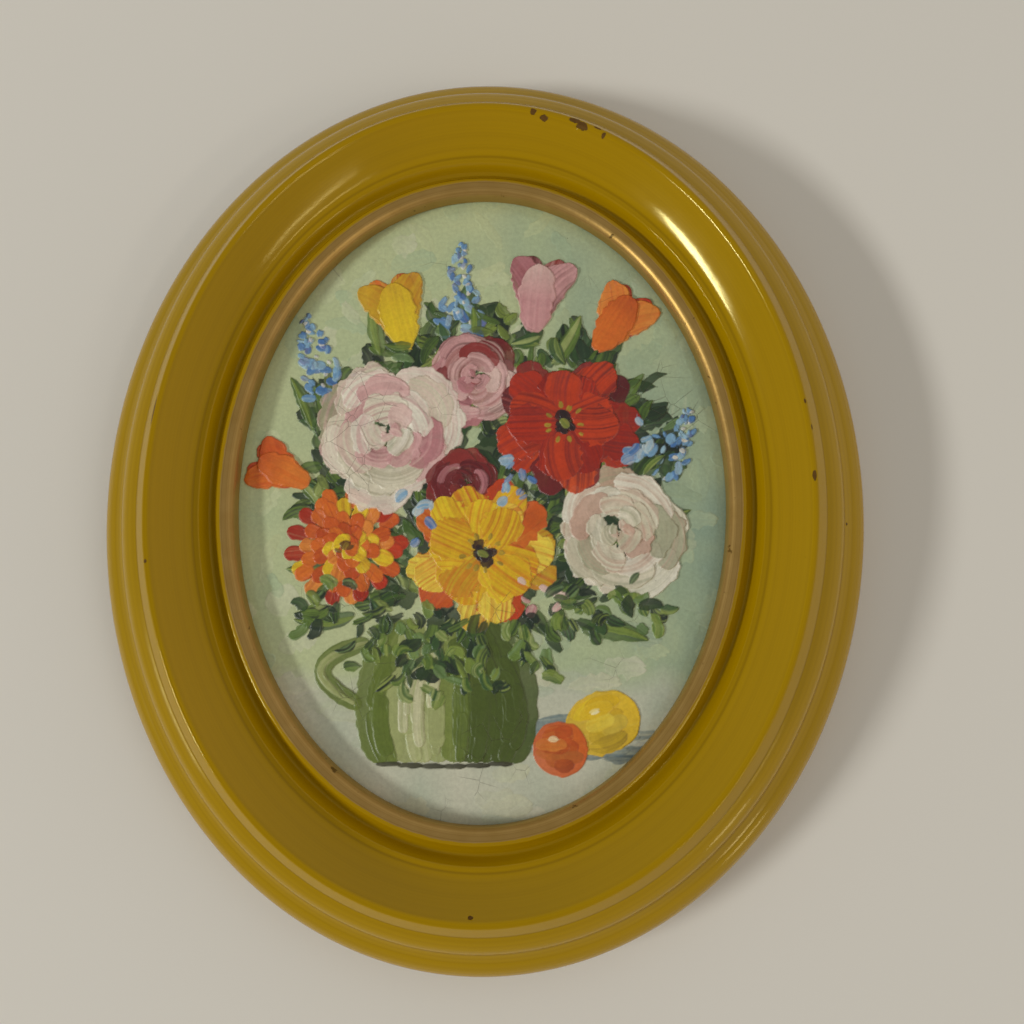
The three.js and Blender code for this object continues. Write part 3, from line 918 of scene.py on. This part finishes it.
def paint_still_life(half_width, half_height):
    p = Painting(half_width, half_height, 7)
    background(p)
    table_shadow(p)
    jug(p, (-6.0, -48.0), 26.0, 15.5)
    fruit(p, (21.5, -40.5), 5.6, YELLOW, (160, 128, 40), 1.2, 0.35)
    fruit(p, (14.0, -45.0), 4.8, ORANGE, (140, 60, 28))
    heart = np.array([-3.0, -18.0])
    foliage(p, np.array([1.0, 5.0]), np.array([30.0, 27.0]), heart)
    for a, r, size in ((2.9, 25, 12), (2.6, 33, 12), (0.1, 30, 13), (0.4, 36, 12), (-0.3, 26, 12),
            (3.3, 24, 11), (1.2, 50, 11), (1.9, 52, 11), (0.85, 46, 11), (2.3, 46, 11), (1.55, 54, 10)):
        at = heart + turn(a, r)
        leaf(p, at - turn(a, 4), a + p.between(-0.3, 0.3), size, p.between(2.6, 3.8), LEAF)
    spike(p, (-27, 20), 1.95, 17, BLUE, VIOLET + BLUE, bend=1.0)
    spike(p, (-3, 31), 1.62, 19, BLUE, VIOLET + BLUE, bend=0.6)
    spike(p, (31, 5), 0.95, 14, BLUE, VIOLET + BLUE, bend=-1.0)
    for at, angle, size, palette, dark in (((-14, 29), 1.85, 15, YELLOW, ORANGE),
            ((10, 32), 1.4, 15, PINK, CRIMSON), ((-32, 3), 2.7, 12, ORANGE, RED),
            ((22, 28), 0.95, 14, ORANGE, RED)):
        stem(p, heart + (at - heart) * 0.3, at, bend=p.between(-1.5, 1.5))
        tulip(p, at, angle, size, palette, dark)
    for k in range(90):
        at = np.array([1.0, 4.0]) + turn(p.between(-0.3, 3.4), p.between(0.6, 1.05)) * (30, 28)
        leaf(p, at, p.between(0, 6.28), p.between(3, 6), p.between(1.4, 2.4), LEAF if k % 3 else LIGHT_LEAF)
    rose(p, (-1.5, 22.5), 8.5, PINK, CRIMSON + PINK)
    marigold(p, (-24.5, -9.0), 11.0, ORANGE + YELLOW[:1], RED)
    rose(p, (25.5, -6.5), 11.5, WHITE, [(206, 170, 150), (176, 176, 146)])
    rose(p, (-17.0, 12.5), 13.0, WHITE, PINK + [(176, 170, 140)])
    poppy(p, (15.5, 13.5), 14.0, RED, CRIMSON)
    rose(p, (-3.5, 2.0), 6.5, CRIMSON + PINK[2:3], CRIMSON)
    poppy(p, (0.5, -10.5), 14.0, YELLOW, ORANGE[1:] + RED[:1])
    for at, count, palette in (((6, 2), 10, BLUE), ((29, 8), 8, BLUE), ((-12, -3), 7, BLUE),
            ((12, -19), 8, PINK)):
        for k in range(count):
            p.dab(at + p.random.normal(0, 2.0, 2), p.between(1.6, 3.0), pick(p, palette), WHITE[0],
                    thick=0.42)
    for at, angle in (((-18, -20), -1.9), ((-12, -22), -1.6), ((-6, -23), -1.5), ((0, -24), -1.4),
            ((6, -22), -1.1), ((14, -19), -0.5), ((-24, -18), -2.7), ((22, -18), -0.2), ((-9, -24), -1.6)):
        for k in range(18):
            place = at + turn(angle, k * 0.55) + p.random.normal(0, 1.6, 2)
            colour = pick(p, DARK_LEAF if k % 3 == 0 else LEAF + LIGHT_LEAF[:1])
            p.stroke(place, place + turn(angle + p.between(-1.3, 1.3), p.between(2.0, 4.6)),
                    p.between(1.2, 2.4), colour, pick(p, DARK_LEAF + LIGHT_LEAF),
                    bend=p.between(-0.9, 0.9), thick=0.34, shape=("petal", "point")[k % 2], streaks=0.8,
                    ragged=0.25)
    return p


# ------------------------------------------------------------------ the painted board as meshes

def paint_finish():
    """The knife's colours from the mesh, with fine streaks, specks of dust and a few hair cracks."""
    finish = Finish("oil_paint", Specular_IOR_Level=0.5)
    painted = finish.attribute("paint", "Color")
    fine = finish.noise(1400.0, 3.0, 0.6)
    colour = finish.mix(finish.step(fine, 0.3, 0.7) * 0.12, painted, (0.0, 0.0, 0.0, 1.0))
    specks = finish.step(finish.noise(1900.0, 1.0), 0.77, 0.8) * finish.step(finish.noise(120.0, 2.0), 0.48,
            0.6)
    colour = finish.mix(specks * 0.6, colour, rgb(66, 60, 44))
    crack = 1.0 - finish.step(finish.cell_edges(230.0), 0.004, 0.014)
    crack = crack * finish.step(finish.noise(60.0, 2.0), 0.56, 0.64)
    colour = finish.mix(crack * 0.35, colour, rgb(80, 72, 54))
    normal = finish.bump(fine, 0.03)
    normal = finish.bump(1.0 - crack, 0.04, normal)
    rough = 0.42 + (finish.noise(300.0, 3.0) - 0.5) * 0.22
    return finish.feed(Base_Color=colour, Roughness=rough, Normal=normal)


def hardboard_finish():
    """The board's own brown: fine felted fibres, seen from behind."""
    finish = Finish("hardboard", Specular_IOR_Level=0.3)
    felt = finish.noise(900.0, 4.0, 0.65)
    colour = finish.mix(finish.step(felt, 0.3, 0.7), rgb(96, 66, 42), rgb(132, 96, 64))
    colour = finish.mix(finish.step(finish.noise(24.0, 4.0), 0.45, 0.7) * 0.4, colour, rgb(82, 56, 38))
    normal = finish.bump(felt, 0.12)
    return finish.feed(Base_Color=colour, Roughness=0.8, Normal=normal)


def paint_band(name, painting, rows, finish):
    """One strip of the paint as a closed mesh: its relief, a flat underside and walls down to it."""
    wide, tall = painting.half[0] + UNDER_LIP, painting.half[1] + UNDER_LIP
    u, v = painting.u, painting.v[rows]
    uu, vv = np.meshgrid(u, v)
    inside = (uu / wide) ** 2 + (vv / tall) ** 2 <= 1
    cell = inside[:-1, :-1] & inside[1:, :-1] & inside[:-1, 1:] & inside[1:, 1:]
    corner = np.zeros(inside.shape, bool)
    but_last, but_first = slice(None, -1), slice(1, None)
    for row in (but_last, but_first):
        for column in (but_last, but_first):
            corner[row, column] |= cell
    number = np.full(inside.shape, -1)
    number[corner] = np.arange(corner.sum())
    height = painting.relief[rows]
    top = np.stack([uu[corner], -(BOARD_UP + height[corner]), vv[corner]], 1)
    quads = np.stack([number[:-1, :-1][cell], number[:-1, 1:][cell], number[1:, 1:][cell],
            number[1:, :-1][cell]], 1)
    sides = np.concatenate([quads[:, [i, (i + 1) % 4]] for i in range(4)])
    count = len(top)
    key = sides[:, 0].astype(np.int64) * count + sides[:, 1]
    twin = sides[:, 1].astype(np.int64) * count + sides[:, 0]
    rim = sides[~np.isin(key, twin)]
    low = np.unique(rim)
    below = np.full(count, -1)
    below[low] = count + np.arange(len(low))
    bottom = top[low].copy()
    bottom[:, 1] = -(BOARD_UP - UNDERSIDE)
    hub = count + len(low)
    middle = bottom.mean(0)[None]
    points = np.concatenate([top, bottom, middle]) * MM + np.array(OVAL)
    walls = np.stack([rim[:, 1], rim[:, 0], below[rim[:, 0]], below[rim[:, 1]]], 1)
    fan = np.stack([below[rim[:, 1]], below[rim[:, 0]], np.full(len(rim), hub)], 1)
    mesh = bpy.data.meshes.new(name)
    mesh.from_pydata(points.tolist(), [], quads.tolist() + walls.tolist() + fan.tolist())
    mesh.polygons.foreach_set("use_smooth", np.arange(len(mesh.polygons)) < len(quads))
    mesh.validate()
    colours = np.ones((len(points), 4), np.float32)
    colours[:count, :3] = painting.colour[rows][corner]
    colours[count:, :3] = rgb(120, 110, 80)[:3]
    mesh.color_attributes.new("paint", "FLOAT_COLOR", "POINT").data.foreach_set("color", colours.ravel())
    slope_v, slope_u = np.gradient(painting.relief, CELL)
    normal = np.stack([-slope_u, -np.ones_like(slope_u), -slope_v], -1)
    normal /= np.linalg.norm(normal, axis=-1, keepdims=True)
    at_corner = normal[rows][corner]
    flat = np.zeros(3 * len(mesh.polygons), np.float32)
    mesh.polygons.foreach_get("normal", flat)
    flat = flat.reshape(-1, 3)[len(quads):]
    wall_corners = [4] * len(walls) + [3] * len(fan)
    around = np.concatenate([at_corner[quads.ravel()], np.repeat(flat, wall_corners, axis=0)])
    mesh.normals_split_custom_set(around)
    mesh.materials.append(finish)
    piece = add_object(name, mesh)
    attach(piece, "root")


def build_painted_board():
    board = bpy.data.objects["painted_board"]
    board.data.materials.clear()
    board.data.materials.append(hardboard_finish())
    painting = paint_still_life(SIGHT_X, SIGHT_Z)
    painting.settle()
    finish = paint_finish()
    strips = 4
    ends = painting.even_strips(strips)
    for i in range(strips):
        paint_band(f"impasto_{i + 1}", painting, slice(ends[i], ends[i + 1] + 1), finish)


# ------------------------------------------------------------------ hanger, nails and brads

def steel_finish(name, bright, dull):
    finish = Finish(name, Metallic=1.0)
    colour = finish.mix(finish.noise(300.0, 3.0), bright, dull)
    colour = finish.mix(finish.step(finish.noise(160.0, 4.0, 0.6), 0.62, 0.72) * 0.5, colour,
            rgb(112, 92, 72))
    rough = 0.34 + (finish.noise(420.0, 3.0) - 0.5) * 0.25
    normal = finish.bump(finish.noise(800.0, 2.0), 0.01)
    return finish.feed(Base_Color=colour, Roughness=rough, Normal=normal)


EASED = 0.12  # mm that every steel edge is rounded by


def eased_copy(node, finish):
    """A piece with the node's form and softly rounded edges."""
    mesh = bpy.data.objects[node].data.copy()
    mesh.name = node + "_eased"
    work = bmesh.new()
    work.from_mesh(mesh)
    work.transform(bpy.data.objects[node].matrix_world)
    bmesh.ops.remove_doubles(work, verts=work.verts, dist=1e-6)
    bmesh.ops.dissolve_limit(work, angle_limit=math.radians(1), verts=work.verts, edges=work.edges)
    work.to_mesh(mesh)
    work.free()
    mesh.materials.clear()
    mesh.materials.append(finish)
    piece = add_object(node + "_eased", mesh)
    bevel = piece.modifiers.new("eased", "BEVEL")
    bevel.width = EASED * MM
    bevel.segments = 2
    bevel.limit_method = "ANGLE"
    bevel.angle_limit = math.radians(40)
    for face in mesh.polygons:
        face.use_smooth = True
    normals = piece.modifiers.new("even", "WEIGHTED_NORMAL")
    normals.keep_sharp = True
    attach(piece, "root")
    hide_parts(node)


def build_fittings():
    zinc = steel_finish("zinc_plated_steel", rgb(176, 170, 158), rgb(140, 134, 122))
    dark = steel_finish("bright_wire", rgb(160, 152, 138), rgb(112, 104, 92))
    for node in ("hanger", "hanger_nail_1", "hanger_nail_2"):
        eased_copy(node, zinc)
    for i in range(1, 5):
        eased_copy(f"brad_{i}", dark)


build_camera()
build_world()
for light in LIGHTS:
    add_light(*light)
build_stage()
build_moulding()
build_painted_board()
build_fittings()
bpy.context.scene.view_settings.view_transform = "Standard"
